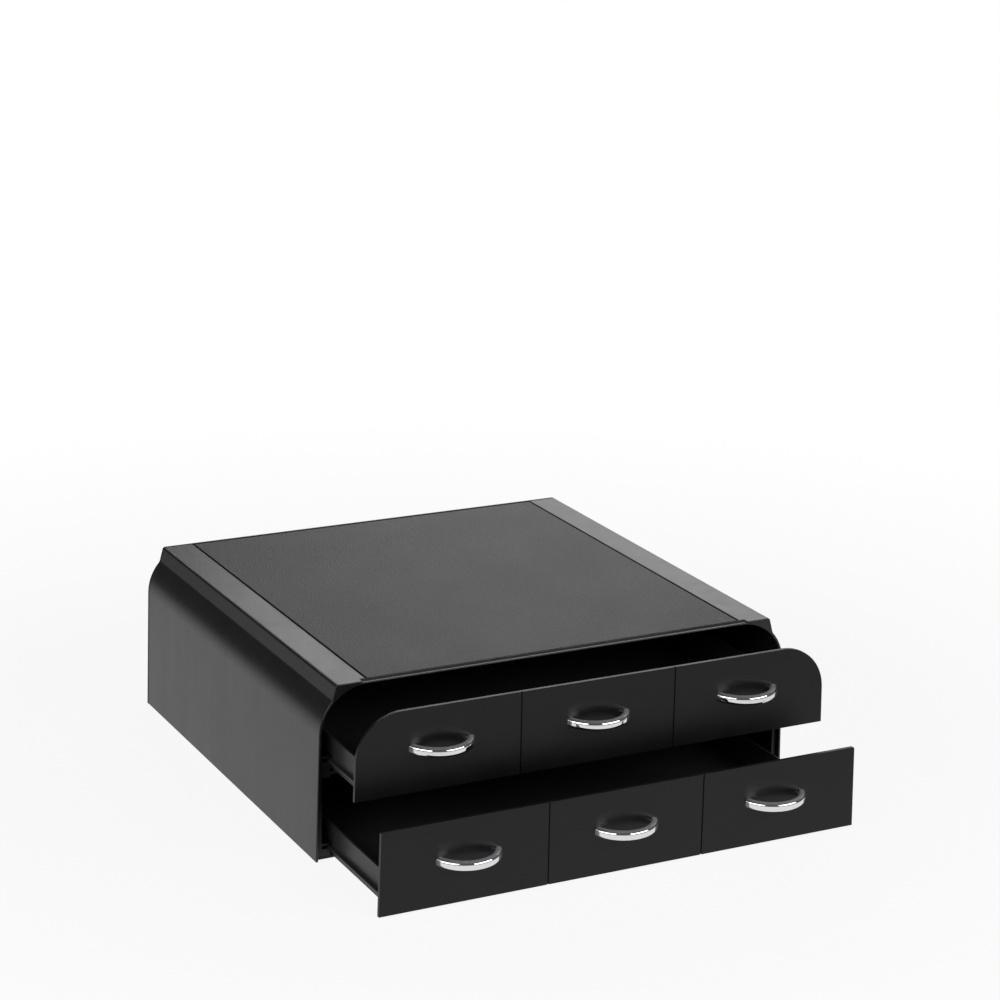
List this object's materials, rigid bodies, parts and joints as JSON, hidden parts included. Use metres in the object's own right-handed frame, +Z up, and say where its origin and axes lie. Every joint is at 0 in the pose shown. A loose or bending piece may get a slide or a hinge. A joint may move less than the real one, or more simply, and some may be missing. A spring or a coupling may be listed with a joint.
{
  "type": "coffee pod drawer",
  "caption": "Low wide black cabinet with a flat raised deck, rounded shoulders and sliding pod drawers, one above the other, with grooved fronts and chrome bow handles.",
  "frame": {"origin": "centre of the cabinet on the plane it stands on, at the underside of the middle foot", "axes": "+X to the right seen from the front, +Y from the drawer fronts to the back, +Z up; the drawers slide out along -Y"},
  "size_m": [0.35, 0.426, 0.1194],
  "materials": {
    "shell": "satin black moulded plastic",
    "top_panel": "fine-grained matte black plastic",
    "back_panel": "satin black plastic",
    "base_panel": "matte black plastic",
    "mid_shelf": "matte black plastic",
    "runners": "smooth matte black plastic",
    "feet": "matte black rubber",
    "screws": "plain steel",
    "trays": "satin dark grey plastic",
    "fronts": "satin black plastic with a soft sheen",
    "handles": "polished chrome"
  },
  "bodies": {
    "cabinet": {"housing_shell": "shell", "top_panel": "top_panel", "back_panel": "back_panel", "base_panel": "base_panel", "mid_shelf": "mid_shelf", "lower_left_runner": "runners", "lower_right_runner": "runners", "upper_left_runner": "runners", "upper_right_runner": "runners", "foot_front_left": "feet", "foot_front_right": "feet", "foot_rear_left": "feet", "foot_rear_right": "feet", "foot_centre": "feet", "base_screws": "screws", "shelf_screws": "screws", "back_screws": "screws"},
    "lower_drawer": {"lower_tray": "trays", "lower_front": "fronts", "lower_left_handle": "handles", "lower_middle_handle": "handles", "lower_right_handle": "handles", "lower_handle_screws": "screws", "lower_front_screws": "screws"},
    "upper_drawer": {"upper_tray": "trays", "upper_front": "fronts", "upper_left_handle": "handles", "upper_middle_handle": "handles", "upper_right_handle": "handles", "upper_handle_screws": "screws", "upper_front_screws": "screws"}
  },
  "joints": [
    {"name": "lower_slide", "type": "slide", "parent": "cabinet", "child": "lower_drawer", "axis": [0, -1, 0], "range_m": [-0.0928, 0.1422]},
    {"name": "upper_slide", "type": "slide", "parent": "cabinet", "child": "upper_drawer", "axis": [0, -1, 0], "range_m": [-0.0522, 0.1828]}
  ]
}
